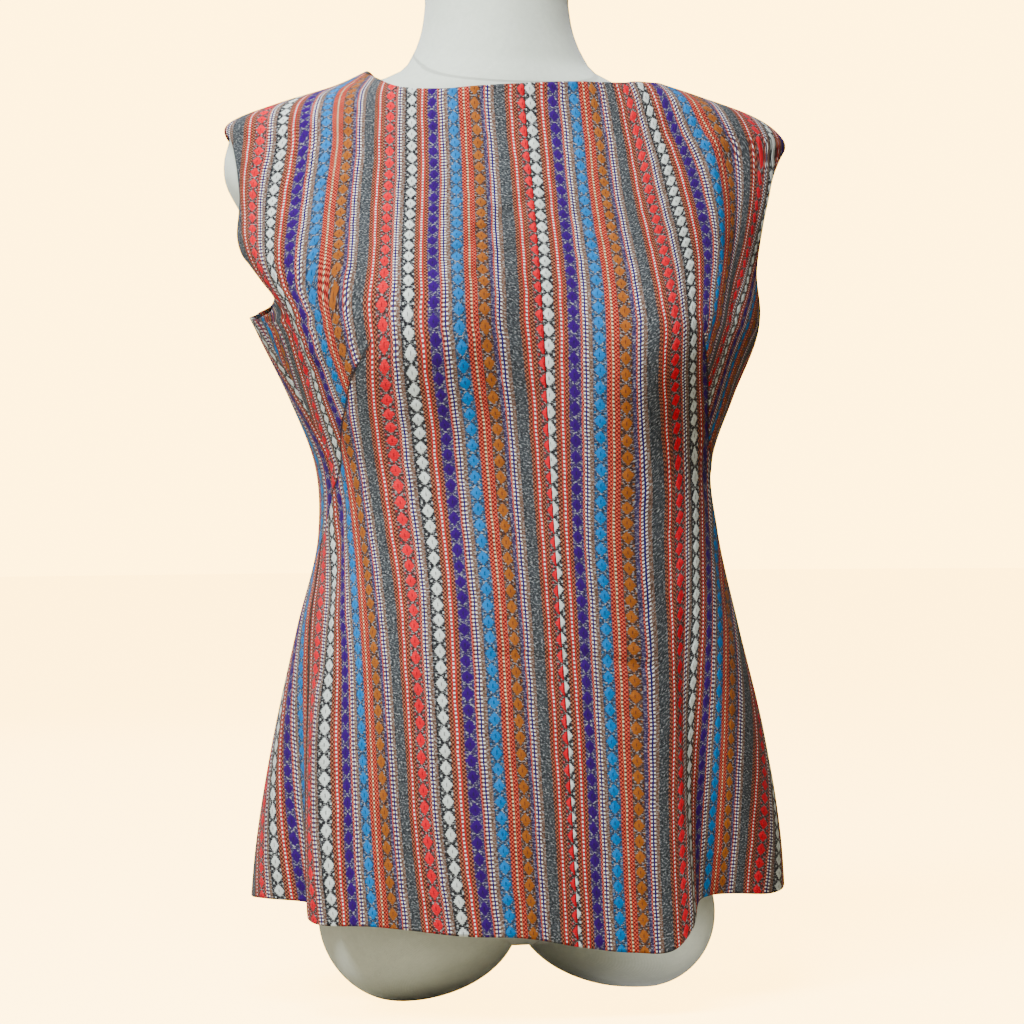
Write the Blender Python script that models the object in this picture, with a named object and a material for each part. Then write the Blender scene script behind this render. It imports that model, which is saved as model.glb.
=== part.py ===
"""Sleeveless woven tunic resting on a limbless dress form.

Metres, +Z up, front towards -Y, origin on the floor under the form's two flat soles.
The tunic is four cloth walls that meet at the centre front, centre back, side and
shoulder seams. A row of each wall runs round the body at one share of the way from
the hem to the neckline. An angle round the body is 0 at the centre front and
grows towards the wearer's left (+X), up to 180 degrees at the centre back.
"""
import math

import bmesh
import bpy
import numpy as np

# Middle of the whole outline seen from above, which stands over the origin
OUTLINE_CENTRE = (0.0084, -0.0229)

# Cloth and seams
CLOTH_THICKNESS = 0.0018
SEAM_GAP = 0.0003

# Heights on the side line
UNDERARM = 0.497
SHOULDER_TIP = 0.644
NECK_POINT = 0.686

# Grid of each cloth wall
COLUMNS = 18
SKIRT_ROWS = 20
ARMHOLE_ROWS = 11
SHOULDER_ROWS = 4

# Bust, the same on the cloth and on the form
BUST_HEIGHT = 0.480
BUST_SIDE = 0.088
BUST_FULLNESS = 0.021
BUST_REACH = (0.055, 0.060)

# Outer face of the tunic, a row for each level
# height, half width on the wearer's right and left, front, back, squareness, centre y
TUNIC_SECTIONS = [
    (0.040, 0.2010, 0.2000, 0.152, 0.137, 2.2, -0.014),
    (0.110, 0.1950, 0.1990, 0.144, 0.131, 2.2, -0.012),
    (0.190, 0.1815, 0.1885, 0.134, 0.124, 2.2, -0.010),
    (0.270, 0.1630, 0.1710, 0.122, 0.114, 2.2, -0.007),
    (0.340, 0.1455, 0.1575, 0.112, 0.102, 2.2, -0.003),
    (0.390, 0.1470, 0.1545, 0.106, 0.097, 2.2, 0.000),
    (0.440, 0.1655, 0.1745, 0.101, 0.098, 2.2, 0.003),
    (0.490, 0.1890, 0.1970, 0.097, 0.103, 2.3, 0.006),
    (0.540, 0.2110, 0.2030, 0.092, 0.102, 2.3, 0.010),
    (0.590, 0.2110, 0.2230, 0.083, 0.092, 2.2, 0.014),
    (0.625, 0.2110, 0.2270, 0.075, 0.076, 2.1, 0.017),
    (0.644, 0.2070, 0.2280, 0.072, 0.064, 2.0, 0.019),
    (0.660, 0.1690, 0.2040, 0.070, 0.058, 2.0, 0.020),
    (0.673, 0.1300, 0.1600, 0.069, 0.055, 2.0, 0.020),
    (0.686, 0.1030, 0.1100, 0.069, 0.054, 2.0, 0.020),
    (0.700, 0.0750, 0.0750, 0.068, 0.053, 2.0, 0.020),
]

# Hem and neckline: angle in degrees, height
HEM_LINE = [
    (-180, 0.075), (-130, 0.072), (-108, 0.072), (-95, 0.076), (-77, 0.079), (-64, 0.070),
    (-50, 0.070),
    (-30, 0.064), (-15, 0.062), (0, 0.054), (15, 0.048), (24, 0.048), (32, 0.062),
    (40, 0.076), (60, 0.076), (90, 0.074), (130, 0.076), (180, 0.076),
]
NECK_LINE = [
    (-180, 0.676), (-130, 0.678), (-90, 0.686), (-80, 0.681), (-70, 0.675), (-60, 0.667),
    (-45, 0.6645), (-30, 0.6665), (0, 0.6695), (30, 0.6725), (60, 0.676), (80, 0.682),
    (90, 0.686), (130, 0.678), (180, 0.676),
]

# Side seams: height, angle in degrees on the wearer's right and left
SIDE_SEAMS = [
    (0.04, 97, 94), (0.21, 97, 94), (0.31, 95, 93), (0.37, 81, 88), (0.44, 83, 88),
    (0.497, 88, 90), (0.69, 90, 90),
]

# Armholes: share of the way up, then how far the edge is cut forward of the side line
# on the right front and left front, and behind it on the right back and left back
ARMHOLES = [
    (0.00, 0.000, 0.000, 0.000, 0.000),
    (0.03, 0.021, 0.016, 0.034, 0.018),
    (0.09, 0.033, 0.028, 0.060, 0.030),
    (0.20, 0.031, 0.038, 0.074, 0.040),
    (0.35, 0.022, 0.042, 0.070, 0.045),
    (0.65, 0.020, 0.042, 0.046, 0.044),
    (0.88, 0.013, 0.024, 0.026, 0.024),
    (1.00, 0.000, 0.000, 0.000, 0.000),
]

# Flutes of the skirt: angle at the hem and at the top, top height, half width in
# degrees, depth (outwards is +)
FLUTES = [
    (-92, -96, 0.28, 8, 0.002),
    (-74, -82, 0.29, 5.5, -0.022),
    (-61, -71, 0.30, 7, 0.006),
    (-50, -56, 0.34, 9, 0.003),
    (-20, -24, 0.26, 12, 0.003),
    (26, 24, 0.31, 10, 0.008),
    (42, 44, 0.35, 7.5, -0.015),
    (62, 64, 0.29, 10, 0.005),
    (112, 114, 0.28, 10, -0.005),
    (138, 138, 0.32, 12, 0.006),
    (163, 164, 0.26, 9, -0.004),
    (-112, -112, 0.30, 10, -0.006),
    (-136, -136, 0.33, 12, 0.006),
    (-162, -162, 0.27, 9, -0.004),
]
FLUTE_HEM = 0.070

# Dress form: height, half width, front, back, squareness, centre y
FORM_SECTIONS = [
    (0.038, 0.080, 0.045, 0.050, 2.2, -0.008),
    (0.050, 0.120, 0.078, 0.080, 2.2, -0.008),
    (0.070, 0.143, 0.094, 0.096, 2.2, -0.008),
    (0.110, 0.152, 0.102, 0.106, 2.2, -0.008),
    (0.190, 0.154, 0.105, 0.108, 2.2, -0.008),
    (0.270, 0.141, 0.098, 0.098, 2.2, -0.006),
    (0.340, 0.122, 0.088, 0.086, 2.2, -0.003),
    (0.390, 0.120, 0.085, 0.084, 2.2, 0.000),
    (0.440, 0.133, 0.089, 0.089, 2.2, 0.003),
    (0.490, 0.153, 0.0925, 0.097, 2.3, 0.006),
    (0.540, 0.176, 0.0880, 0.097, 2.3, 0.010),
    (0.575, 0.198, 0.0826, 0.090, 2.2, 0.012),
    (0.600, 0.211, 0.0760, 0.081, 2.0, 0.015),
    (0.622, 0.210, 0.0695, 0.070, 1.9, 0.018),
    (0.642, 0.198, 0.0675, 0.0600, 2.0, 0.019),
    (0.657, 0.167, 0.0665, 0.0550, 2.0, 0.020),
    (0.669, 0.128, 0.0650, 0.0520, 2.0, 0.020),
    (0.680, 0.091, 0.0620, 0.0505, 2.0, 0.021),
    (0.687, 0.0765, 0.059, 0.051, 2.0, 0.022),
    (0.699, 0.0665, 0.057, 0.052, 2.0, 0.023),
    (0.713, 0.0600, 0.055, 0.052, 2.0, 0.024),
    (0.740, 0.0548, 0.053, 0.051, 2.0, 0.025),
    (0.770, 0.0535, 0.052, 0.050, 2.0, 0.025),
    (0.775, 0.0490, 0.048, 0.046, 2.0, 0.025),
]
FORM_COLUMNS = 32
FORM_ROW_STEP = 0.022

# Rounded thigh stubs, each with a flat sole
STUB_CENTRE = (0.092, -0.008, 0.056)
STUB_RADII = (0.056, 0.095, 0.060)
STUB_INNER_REACH = 0.090
STUB_RINGS = (24, 14)


def clear_scene():
    for item in list(bpy.data.objects):
        bpy.data.objects.remove(item, do_unlink=True)


def make_collection(name):
    collection = bpy.data.collections.new(name)
    bpy.context.scene.collection.children.link(collection)
    return collection


def make_material(name, colour, roughness):
    material = bpy.data.materials.new(name)
    material.use_nodes = True
    shader = material.node_tree.nodes["Principled BSDF"]
    shader.inputs["Base Color"].default_value = (*colour, 1.0)
    shader.inputs["Roughness"].default_value = roughness
    shader.inputs["Metallic"].default_value = 0.0
    return material


def make_object(name, mesh, material, collection):
    item = bpy.data.objects.new(name, mesh)
    mesh.materials.append(material)
    item.location = (-OUTLINE_CENTRE[0], -OUTLINE_CENTRE[1], 0)
    collection.objects.link(item)
    return item


def look_up(table, column, at):
    """Smooth curve through one column of a table, whose first column is the position."""
    places = np.array([row[0] for row in table], float)
    values = np.array([row[column] for row in table], float)
    slopes = np.gradient(values, places)
    at = np.clip(at, places[0], places[-1])
    i = np.clip(np.searchsorted(places, at) - 1, 0, len(places) - 2)
    step = places[i + 1] - places[i]
    t = (at - places[i]) / step
    start = (1 + 2 * t) * (1 - t) ** 2 * values[i] + t * (1 - t) ** 2 * step * slopes[i]
    end = t * t * (3 - 2 * t) * values[i + 1] + t * t * (t - 1) * step * slopes[i + 1]
    return start + end


def degrees_round(angle):
    """Angle in degrees between -180 and 180."""
    return (np.degrees(angle) + 180) % 360 - 180


def flute_depth(angle, height):
    """How far the skirt's soft flutes push the cloth outwards."""
    place = degrees_round(angle)
    depth = 0.0 * place
    for hem_angle, top_angle, top, half_width, reach in FLUTES:
        run = np.clip((top - height) / (top - FLUTE_HEM), 0, 1.1)
        centre = top_angle + (hem_angle - top_angle) * run
        depth = depth + reach * run ** 1.3 * np.exp(-((place - centre) / half_width) ** 2)
    return depth


def bust(x, y, height):
    """Fullness of the bust, none on the back."""
    front = np.clip(-y / 0.05, 0, 1)
    across = ((np.abs(x) - BUST_SIDE) / BUST_REACH[0]) ** 2
    up = ((height - BUST_HEIGHT) / BUST_REACH[1]) ** 2
    return BUST_FULLNESS * front * np.exp(-across - up)


def round_section(angle, right, left, front, back, squareness, extra=0.0):
    """Point of a rounded section at an angle from the centre front."""
    sine, cosine = np.sin(angle), np.cos(angle)
    wide = np.where(sine < 0, right, left)
    deep = np.where(cosine > 0, front, back)
    reach = (np.abs(sine / wide) ** squareness + np.abs(cosine / deep) ** squareness)
    reach = reach ** (-1 / squareness) + extra
    return reach * sine, -reach * cosine


def tunic_point(angle, share):
    """Point of the tunic's outer face at a share of the way from hem to neckline."""
    place = degrees_round(angle)
    height = look_up(HEM_LINE, 1, place) * (1 - share) + look_up(NECK_LINE, 1, place) * share
    right, left, front, back, squareness, centre = [
        look_up(TUNIC_SECTIONS, column, height) for column in range(1, 7)]
    x, y = round_section(angle, right, left, front, back, squareness,
                         flute_depth(angle, height))
    y = y - bust(x, y, height) + centre
    return np.stack([x, y, height + 0 * x], -1)


def tunic_normal(angle, share):
    """Outward direction of the tunic's outer face."""
    turn, climb = 0.002, 0.0008
    round_body = tunic_point(angle + turn, share) - tunic_point(angle - turn, share)
    up_body = tunic_point(angle, share + climb) - tunic_point(angle, share - climb)
    normal = np.cross(round_body, up_body)
    return normal / np.linalg.norm(normal, axis=-1, keepdims=True)


def share_of(height, side):
    """Share of the way up the side line at a height."""
    hem = look_up(HEM_LINE, 1, side * 90)
    return float((height - hem) / (NECK_POINT - hem))


def outer_edge(share, side, front):
    """Angle of a panel's side seam, armhole or shoulder seam, from the centre front."""
    hem = look_up(HEM_LINE, 1, side * 90)
    height = float(hem + (NECK_POINT - hem) * share)
    seam = 1 if side < 0 else 2
    if height <= UNDERARM + 1e-6:
        return math.radians(look_up(SIDE_SEAMS, seam, height))
    if height >= SHOULDER_TIP - 1e-6:
        return math.pi / 2
    way_up = (height - UNDERARM) / (SHOULDER_TIP - UNDERARM)
    cut = float(look_up(ARMHOLES, seam if front else seam + 2, way_up))
    underarm = math.radians(look_up(SIDE_SEAMS, seam, UNDERARM))
    straight = underarm + (math.pi / 2 - underarm) * way_up
    wide = look_up(TUNIC_SECTIONS, seam, height)
    deep = look_up(TUNIC_SECTIONS, 3 if front else 4, height)
    squareness = look_up(TUNIC_SECTIONS, 5, height)
    out = wide * (1 - min(cut / deep, 0.95) ** squareness) ** (1 / squareness)
    swing = math.atan2(cut, out)
    return straight - swing if front else straight + swing


def panel_shares(side):
    """Rows of a panel: hem to underarm, armhole with closer rows at its ends, shoulder."""
    underarm = share_of(UNDERARM, side)
    tip = share_of(SHOULDER_TIP, side)
    skirt = np.linspace(0, underarm, SKIRT_ROWS + 1)
    even = np.linspace(0, 1, ARMHOLE_ROWS + 1)
    eased = 0.4 * even + 0.3 * (1 - np.cos(math.pi * even))
    armhole = underarm + (tip - underarm) * eased
    shoulder = np.linspace(tip, 1, SHOULDER_ROWS + 1)
    return np.concatenate([skirt, armhole[1:], shoulder[1:]])


def row_angles(share, side, front, columns):
    """Angles along a row, evenly spaced on the cloth, half a seam gap inside each end."""
    centre = 0.0 if front else math.pi
    fine = np.linspace(centre, outer_edge(share, side, front), 241) * side
    points = tunic_point(fine, share)
    lengths = np.linalg.norm(np.diff(points, axis=0), axis=1)
    along = np.concatenate([[0], np.cumsum(lengths)])
    places = np.linspace(SEAM_GAP / 2, along[-1] - SEAM_GAP / 2, columns + 1)
    return np.interp(places, along, fine)


def shell_mesh(name, outer, inner):
    """Closed cloth wall between two grids of points."""
    rows, columns = outer.shape[:2]
    shell = bmesh.new()
    layers = [[[shell.verts.new(point) for point in row] for row in grid]
              for grid in (outer, inner)]
    for j in range(rows - 1):
        for i in range(columns - 1):
            for grid in layers:
                shell.faces.new((grid[j][i], grid[j][i + 1], grid[j + 1][i + 1],
                                 grid[j + 1][i]))
    rim = [(0, i) for i in range(columns - 1)]
    rim += [(j, columns - 1) for j in range(rows - 1)]
    rim += [(rows - 1, i) for i in range(columns - 1, 0, -1)]
    rim += [(j, 0) for j in range(rows - 1, 0, -1)]
    face, back = layers
    for (j, i), (k, l) in zip(rim, rim[1:] + rim[:1]):
        shell.faces.new((face[j][i], face[k][l], back[k][l], back[j][i]))
    bmesh.ops.recalc_face_normals(shell, faces=shell.faces)
    mesh = bpy.data.meshes.new(name)
    shell.to_mesh(mesh)
    shell.free()
    mesh.shade_smooth()
    mesh.set_sharp_from_angle(angle=math.radians(40))
    return mesh


def make_panel(name, side, front, material, collection):
    """One cut piece of the tunic; side is -1 for the wearer's right, +1 for the left."""
    outer, inner = [], []
    for share in panel_shares(side):
        angles = row_angles(share, side, front, COLUMNS)
        points = tunic_point(angles, share)
        outer.append(points)
        inner.append(points - CLOTH_THICKNESS * tunic_normal(angles, share))
    mesh = shell_mesh(name, np.array(outer), np.array(inner))
    return make_object(name, mesh, material, collection)


def form_ring(height, columns):
    """Evenly spaced points round the dress form."""
    width, front, back, squareness, centre = [
        look_up(FORM_SECTIONS, column, height) for column in range(1, 6)]
    fine = np.linspace(-math.pi, math.pi, 721)
    x, y = round_section(fine, width, width, front, back, squareness)
    y = y - bust(x, y, height) + centre
    along = np.concatenate([[0], np.cumsum(np.hypot(np.diff(x), np.diff(y)))])
    places = np.linspace(0, along[-1], columns + 1)[:-1]
    return [(np.interp(p, along, x), np.interp(p, along, y), height) for p in places]


def form_heights():
    """Heights of the form's rings: every row of the table, and more where they are far apart."""
    heights = [FORM_SECTIONS[0][0]]
    for row in FORM_SECTIONS[1:]:
        count = max(1, round((row[0] - heights[-1]) / FORM_ROW_STEP))
        heights += list(np.linspace(heights[-1], row[0], count + 1)[1:])
    return heights


def make_stub(name, side, material, collection):
    """Rounded end of a thigh, cut flat at the floor."""
    mesh = bpy.data.meshes.new(name)
    stub = bmesh.new()
    bmesh.ops.create_uvsphere(stub, u_segments=STUB_RINGS[0], v_segments=STUB_RINGS[1],
                              radius=1.0)
    bmesh.ops.scale(stub, verts=stub.verts, vec=STUB_RADII)
    for vertex in stub.verts:
        if vertex.co.x * side < 0:
            vertex.co.x *= STUB_INNER_REACH / STUB_RADII[0]
    bmesh.ops.translate(stub, verts=stub.verts,
                        vec=(side * STUB_CENTRE[0], STUB_CENTRE[1], STUB_CENTRE[2]))
    geometry = stub.verts[:] + stub.edges[:] + stub.faces[:]
    cut = bmesh.ops.bisect_plane(stub, geom=geometry, dist=1e-6, plane_co=(0, 0, 0),
                                 plane_no=(0, 0, -1), clear_outer=True)
    edges = [item for item in cut["geom_cut"] if isinstance(item, bmesh.types.BMEdge)]
    bmesh.ops.contextual_create(stub, geom=edges)
    bmesh.ops.recalc_face_normals(stub, faces=stub.faces)
    stub.to_mesh(mesh)
    stub.free()
    item = make_object(name, mesh, material, collection)
    item.hide_render = True
    item.display_type = 'WIRE'
    return item


def make_form(material, collection, cutters):
    """Limbless torso with a plain neck, joined to two thigh stubs."""
    body = bmesh.new()
    rings = [[body.verts.new(point) for point in form_ring(height, FORM_COLUMNS)]
             for height in form_heights()]
    for low, high in zip(rings, rings[1:]):
        for i in range(FORM_COLUMNS):
            j = (i + 1) % FORM_COLUMNS
            body.faces.new((low[i], low[j], high[j], high[i]))
    body.faces.new(rings[0])
    body.faces.new(rings[-1])
    bmesh.ops.recalc_face_normals(body, faces=body.faces)
    mesh = bpy.data.meshes.new("dress_form")
    body.to_mesh(mesh)
    body.free()
    mesh.shade_smooth()
    mesh.set_sharp_from_angle(angle=math.radians(40))
    form = make_object("dress_form", mesh, material, collection)
    for name, side in (("stub_right", -1), ("stub_left", 1)):
        join = form.modifiers.new(name, 'BOOLEAN')
        join.operation = 'UNION'
        join.solver = 'EXACT'
        join.object = make_stub(name, side, material, cutters)
    return form


def main():
    clear_scene()
    parts = make_collection("tunic_on_dress_form")
    cutters = make_collection("cutters")
    cloth_front = make_material("striped_cloth_front", (0.17, 0.09, 0.08), 0.9)
    cloth_back = make_material("striped_cloth_back", (0.14, 0.08, 0.08), 0.9)
    jersey = make_material("form_jersey", (0.55, 0.56, 0.51), 0.85)
    make_form(jersey, parts, cutters)
    make_panel("front_right", -1, True, cloth_front, parts)
    make_panel("front_left", 1, True, cloth_front.copy(), parts)
    make_panel("back_right", -1, False, cloth_back, parts)
    make_panel("back_left", 1, False, cloth_back.copy(), parts)


main()
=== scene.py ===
"""Sleeveless striped tunic resting on a limbless dress form.

Each cloth panel is a fine shell on the same surface as its solid. Metres, front towards -Y.
An angle round the body is 0 at the centre front and grows towards the wearer's left (+X).
"""

import math

import bmesh
import bpy
import numpy as np
from mathutils import Matrix, Quaternion, Vector


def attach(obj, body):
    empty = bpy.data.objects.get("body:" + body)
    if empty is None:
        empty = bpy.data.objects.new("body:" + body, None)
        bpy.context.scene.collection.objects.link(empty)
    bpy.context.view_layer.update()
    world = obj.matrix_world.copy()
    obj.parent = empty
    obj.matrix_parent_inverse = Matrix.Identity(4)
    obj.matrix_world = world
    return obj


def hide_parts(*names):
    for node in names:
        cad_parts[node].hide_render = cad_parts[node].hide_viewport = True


# Middle of the whole outline seen from above, which stands over the origin
OUTLINE_CENTRE = (0.0084, -0.0229)

# Cloth and seams
CLOTH_THICKNESS = 0.0018
SEAM_GAP = 0.0003
EDGE_BULGE = 0.4 * CLOTH_THICKNESS
UNDERARM = 0.497
SHOULDER_TIP = 0.644
NECK_POINT = 0.686

# Fine grid of each panel: columns, rows in the skirt, armhole and shoulder
COLUMNS = 186
SKIRT_ROWS = 285
ARMHOLE_ROWS = 105
SHOULDER_ROWS = 30
LINING_STEP = 3
SEAM_SINK = 0.0005
SEAM_WIDTH = 0.0016
DART_SINK = 0.0004
DART_LIP = 0.0007

# Bust, the same on the cloth and on the form
BUST_HEIGHT = 0.480
BUST_SIDE = 0.088
BUST_FULLNESS = 0.021
BUST_REACH = (0.055, 0.060)

# Outer face of the tunic, a row for each level
# height, half width on the wearer's right and left, front, back, squareness, centre y
TUNIC_SECTIONS = [
    (0.040, 0.2010, 0.2000, 0.152, 0.137, 2.2, -0.014),
    (0.110, 0.1950, 0.1990, 0.144, 0.131, 2.2, -0.012),
    (0.190, 0.1815, 0.1885, 0.134, 0.124, 2.2, -0.010),
    (0.270, 0.1630, 0.1710, 0.122, 0.114, 2.2, -0.007),
    (0.340, 0.1455, 0.1575, 0.112, 0.102, 2.2, -0.003),
    (0.390, 0.1470, 0.1545, 0.106, 0.097, 2.2, 0.000),
    (0.440, 0.1655, 0.1745, 0.101, 0.098, 2.2, 0.003),
    (0.490, 0.1890, 0.1970, 0.097, 0.103, 2.3, 0.006),
    (0.540, 0.2110, 0.2030, 0.092, 0.102, 2.3, 0.010),
    (0.590, 0.2110, 0.2230, 0.083, 0.092, 2.2, 0.014),
    (0.625, 0.2110, 0.2270, 0.075, 0.076, 2.1, 0.017),
    (0.644, 0.2070, 0.2280, 0.072, 0.064, 2.0, 0.019),
    (0.660, 0.1690, 0.2040, 0.070, 0.058, 2.0, 0.020),
    (0.673, 0.1300, 0.1600, 0.069, 0.055, 2.0, 0.020),
    (0.686, 0.1030, 0.1100, 0.069, 0.054, 2.0, 0.020),
    (0.700, 0.0750, 0.0750, 0.068, 0.053, 2.0, 0.020),
]

# Hem and neckline: angle in degrees, height
HEM_LINE = [
    (-180, 0.075), (-130, 0.072), (-108, 0.072), (-95, 0.076), (-77, 0.079), (-64, 0.070),
    (-50, 0.070),
    (-30, 0.064), (-15, 0.062), (0, 0.054), (15, 0.048), (24, 0.048), (32, 0.062),
    (40, 0.076), (60, 0.076), (90, 0.074), (130, 0.076), (180, 0.076),
]
NECK_LINE = [
    (-180, 0.676), (-130, 0.678), (-90, 0.686), (-80, 0.681), (-70, 0.675), (-60, 0.667),
    (-45, 0.6645), (-30, 0.6665), (0, 0.6695), (30, 0.6725), (60, 0.676), (80, 0.682),
    (90, 0.686), (130, 0.678), (180, 0.676),
]

# Side seams: height, angle in degrees on the wearer's right and left
SIDE_SEAMS = [
    (0.04, 97, 94), (0.21, 97, 94), (0.31, 95, 93), (0.37, 81, 88), (0.44, 83, 88),
    (0.497, 88, 90), (0.69, 90, 90),
]

# Armholes: share of the way up, then how far the edge is cut forward of the side line
# on the right front and left front, and behind it on the right back and left back
ARMHOLES = [
    (0.00, 0.000, 0.000, 0.000, 0.000),
    (0.03, 0.021, 0.016, 0.034, 0.018),
    (0.09, 0.033, 0.028, 0.060, 0.030),
    (0.20, 0.031, 0.038, 0.074, 0.040),
    (0.35, 0.022, 0.042, 0.070, 0.045),
    (0.65, 0.020, 0.042, 0.046, 0.044),
    (0.88, 0.013, 0.024, 0.026, 0.024),
    (1.00, 0.000, 0.000, 0.000, 0.000),
]

# Flutes of the skirt: angle at the hem and at the top, top height, half width in
# degrees, depth (outwards is +)
FLUTES = [
    (-92, -96, 0.28, 8, 0.002),
    (-74, -82, 0.29, 5.5, -0.022),
    (-61, -71, 0.30, 7, 0.006),
    (-50, -56, 0.34, 9, 0.003),
    (-20, -24, 0.26, 12, 0.003),
    (26, 24, 0.31, 10, 0.008),
    (42, 44, 0.35, 7.5, -0.015),
    (62, 64, 0.29, 10, 0.005),
    (112, 114, 0.28, 10, -0.005),
    (138, 138, 0.32, 12, 0.006),
    (163, 164, 0.26, 9, -0.004),
    (-112, -112, 0.30, 10, -0.006),
    (-136, -136, 0.33, 12, 0.006),
    (-162, -162, 0.27, 9, -0.004),
]
FLUTE_HEM = 0.070

# Dress form: height, half width, front, back, squareness, centre y
FORM_SECTIONS = [
    (0.038, 0.080, 0.045, 0.050, 2.2, -0.008),
    (0.050, 0.120, 0.078, 0.080, 2.2, -0.008),
    (0.070, 0.143, 0.094, 0.096, 2.2, -0.008),
    (0.110, 0.152, 0.102, 0.106, 2.2, -0.008),
    (0.190, 0.154, 0.105, 0.108, 2.2, -0.008),
    (0.270, 0.141, 0.098, 0.098, 2.2, -0.006),
    (0.340, 0.122, 0.088, 0.086, 2.2, -0.003),
    (0.390, 0.120, 0.085, 0.084, 2.2, 0.000),
    (0.440, 0.133, 0.089, 0.089, 2.2, 0.003),
    (0.490, 0.153, 0.0925, 0.097, 2.3, 0.006),
    (0.540, 0.176, 0.0880, 0.097, 2.3, 0.010),
    (0.575, 0.198, 0.0826, 0.090, 2.2, 0.012),
    (0.600, 0.211, 0.0760, 0.081, 2.0, 0.015),
    (0.622, 0.210, 0.0695, 0.070, 1.9, 0.018),
    (0.642, 0.198, 0.0675, 0.0600, 2.0, 0.019),
    (0.657, 0.167, 0.0665, 0.0550, 2.0, 0.020),
    (0.669, 0.128, 0.0650, 0.0520, 2.0, 0.020),
    (0.680, 0.091, 0.0620, 0.0505, 2.0, 0.021),
    (0.687, 0.0765, 0.059, 0.051, 2.0, 0.022),
    (0.699, 0.0665, 0.057, 0.052, 2.0, 0.023),
    (0.713, 0.0600, 0.055, 0.052, 2.0, 0.024),
    (0.740, 0.0548, 0.053, 0.051, 2.0, 0.025),
    (0.770, 0.0535, 0.052, 0.050, 2.0, 0.025),
    (0.775, 0.0490, 0.048, 0.046, 2.0, 0.025),
]
# Stripes of the fronts stand off the straight grain, in millimetres: a row for each height, a
# column for each distance from the centre front in millimetres
GRAIN_RIGHT_PLACES = (-250, -220, -195, -170, -140, -100, -50, 0)
GRAIN_RIGHT = [
    (0.050, -33, -36.5, -34.5, -31.5, -24, -15, -9, 1.5),
    (0.100, -32.5, -37, -27, -27, -20, -8.5, -6, 1),
    (0.150, -29, -36, -22, -26.5, -18, -5, -5.5, 1),
    (0.200, -28.5, -32, -19, -26, -16.5, -5, -4.5, 1),
    (0.250, -12, -26, -23.5, -27, -15, -5, -5, 1),
    (0.300, -16, -22, -26, -22, -9.5, -5.5, -4.5, 0.5),
    (0.340, -33, -26, -19.5, -15, -2.5, -3, -3, 0.5),
    (0.380, -40, -34, -21.5, -10.5, 2, 0, -1.5, 0.5),
    (0.420, -45, -37, -24.5, -2, 6, 2.5, 0.5, 0.5),
    (0.460, -60, -50, -21.5, 7, 10.5, 9.5, 6.5, 0.5),
    (0.490, -66, -46, -9, 12.5, 11, 12, 9, 1.5),
    (0.510, -56, -32, 3, 7.5, 11, 9.5, 7.5, 1.5),
    (0.530, -44, -16, 4, 2.5, 1, 6.5, 6, 1.5),
    (0.560, -30, -9, -4, -4.5, -4.5, 1.5, 3.5, 1.5),
    (0.590, -15, -11, -10, -11.5, -9.5, -3.5, 1, 2),
    (0.620, -12, -20, -21, -18, -17, -7.5, -1, 2.5),
    (0.660, -12, -22, -25, -23, -20, -11.5, -1.5, 2.5),
]
GRAIN_LEFT_PLACES = (0, 50, 95, 130, 150, 170, 190, 215, 245)
GRAIN_LEFT = [
    (0.050, 20, 25, 30, 32.5, 42, 49, 47, 32, 16),
    (0.100, 20.2, 25, 27, 28.5, 38.5, 45, 40, 28, 16),
    (0.150, 20, 23.6, 21.5, 26.5, 37, 38.5, 31, 25, 18),
    (0.200, 19.6, 22.1, 12, 22, 32, 30, 23, 20, 20),
    (0.250, 19.6, 20.2, 6, 14, 21.5, 20, 16, 14, 12),
    (0.300, 19.6, 18.6, 4, 5.5, 8, 7, 5, 3, 2),
    (0.340, 19.5, 18, 2, 0, -1, -5, -5, -5, -5),
    (0.380, 18.8, 14.6, 0.5, -3, -7.5, -8.5, -8, -8, -8),
    (0.420, 17.8, 14.4, 6.5, 4, 1.5, 2, 2, 2, 2),
    (0.460, 17.0, 14.6, 13, 14, 21.5, 51, 80, 98, 114),
    (0.490, 15.5, 14, 10.5, 15.5, 31, 66, 82, 102, 118),
    (0.510, 15.5, 13.5, 12.5, 12.5, 22, 53, 68, 90, 108),
    (0.530, 15, 13.5, 13, 9.5, 12, 33, 50, 70, 91),
    (0.560, 15, 15, 15.5, 11, 9.5, 20, 37, 53, 70),
    (0.590, 15, 17, 20, 15.5, 13.5, 18, 28, 37.5, 50),
    (0.620, 15, 16, 23, 21, 17.5, 18, 20, 25, 31),
    (0.660, 15, 18, 33, 36, 32, 30, 27, 26, 24),
]

# The same outside the darts, where the stripes lean
SIDE_GRAIN_RIGHT_PLACES = (-225, -208, -192, -172, -150, -130)
SIDE_GRAIN_RIGHT = [
    (0.390, -56, -51, -47, -44, -42, -40),
    (0.420, -60, -56, -48, -33, -26, -22),
    (0.450, -64, -53, -37, -15, -5, -3),
    (0.475, -60, -42, -16, 2, 8, 10),
    (0.500, -56, -24, 0, 7, 10, 12),
]
SIDE_GRAIN_LEFT_PLACES = (135, 150, 165, 180, 200)
SIDE_GRAIN_LEFT = [
    (0.400, 125, 128, 134, 146, 164),
    (0.430, 98, 108, 117, 130, 149),
    (0.455, 64, 86, 100, 114, 131),
    (0.475, 32, 60, 83, 96, 112),
    (0.500, 12, 29, 56, 70, 86),
]

# For each side: inside the dart, outside it
GRAINS = (
    ((GRAIN_RIGHT, GRAIN_RIGHT_PLACES), (SIDE_GRAIN_RIGHT, SIDE_GRAIN_RIGHT_PLACES)),
    ((GRAIN_LEFT, GRAIN_LEFT_PLACES), (SIDE_GRAIN_LEFT, SIDE_GRAIN_LEFT_PLACES)),
)

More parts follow.
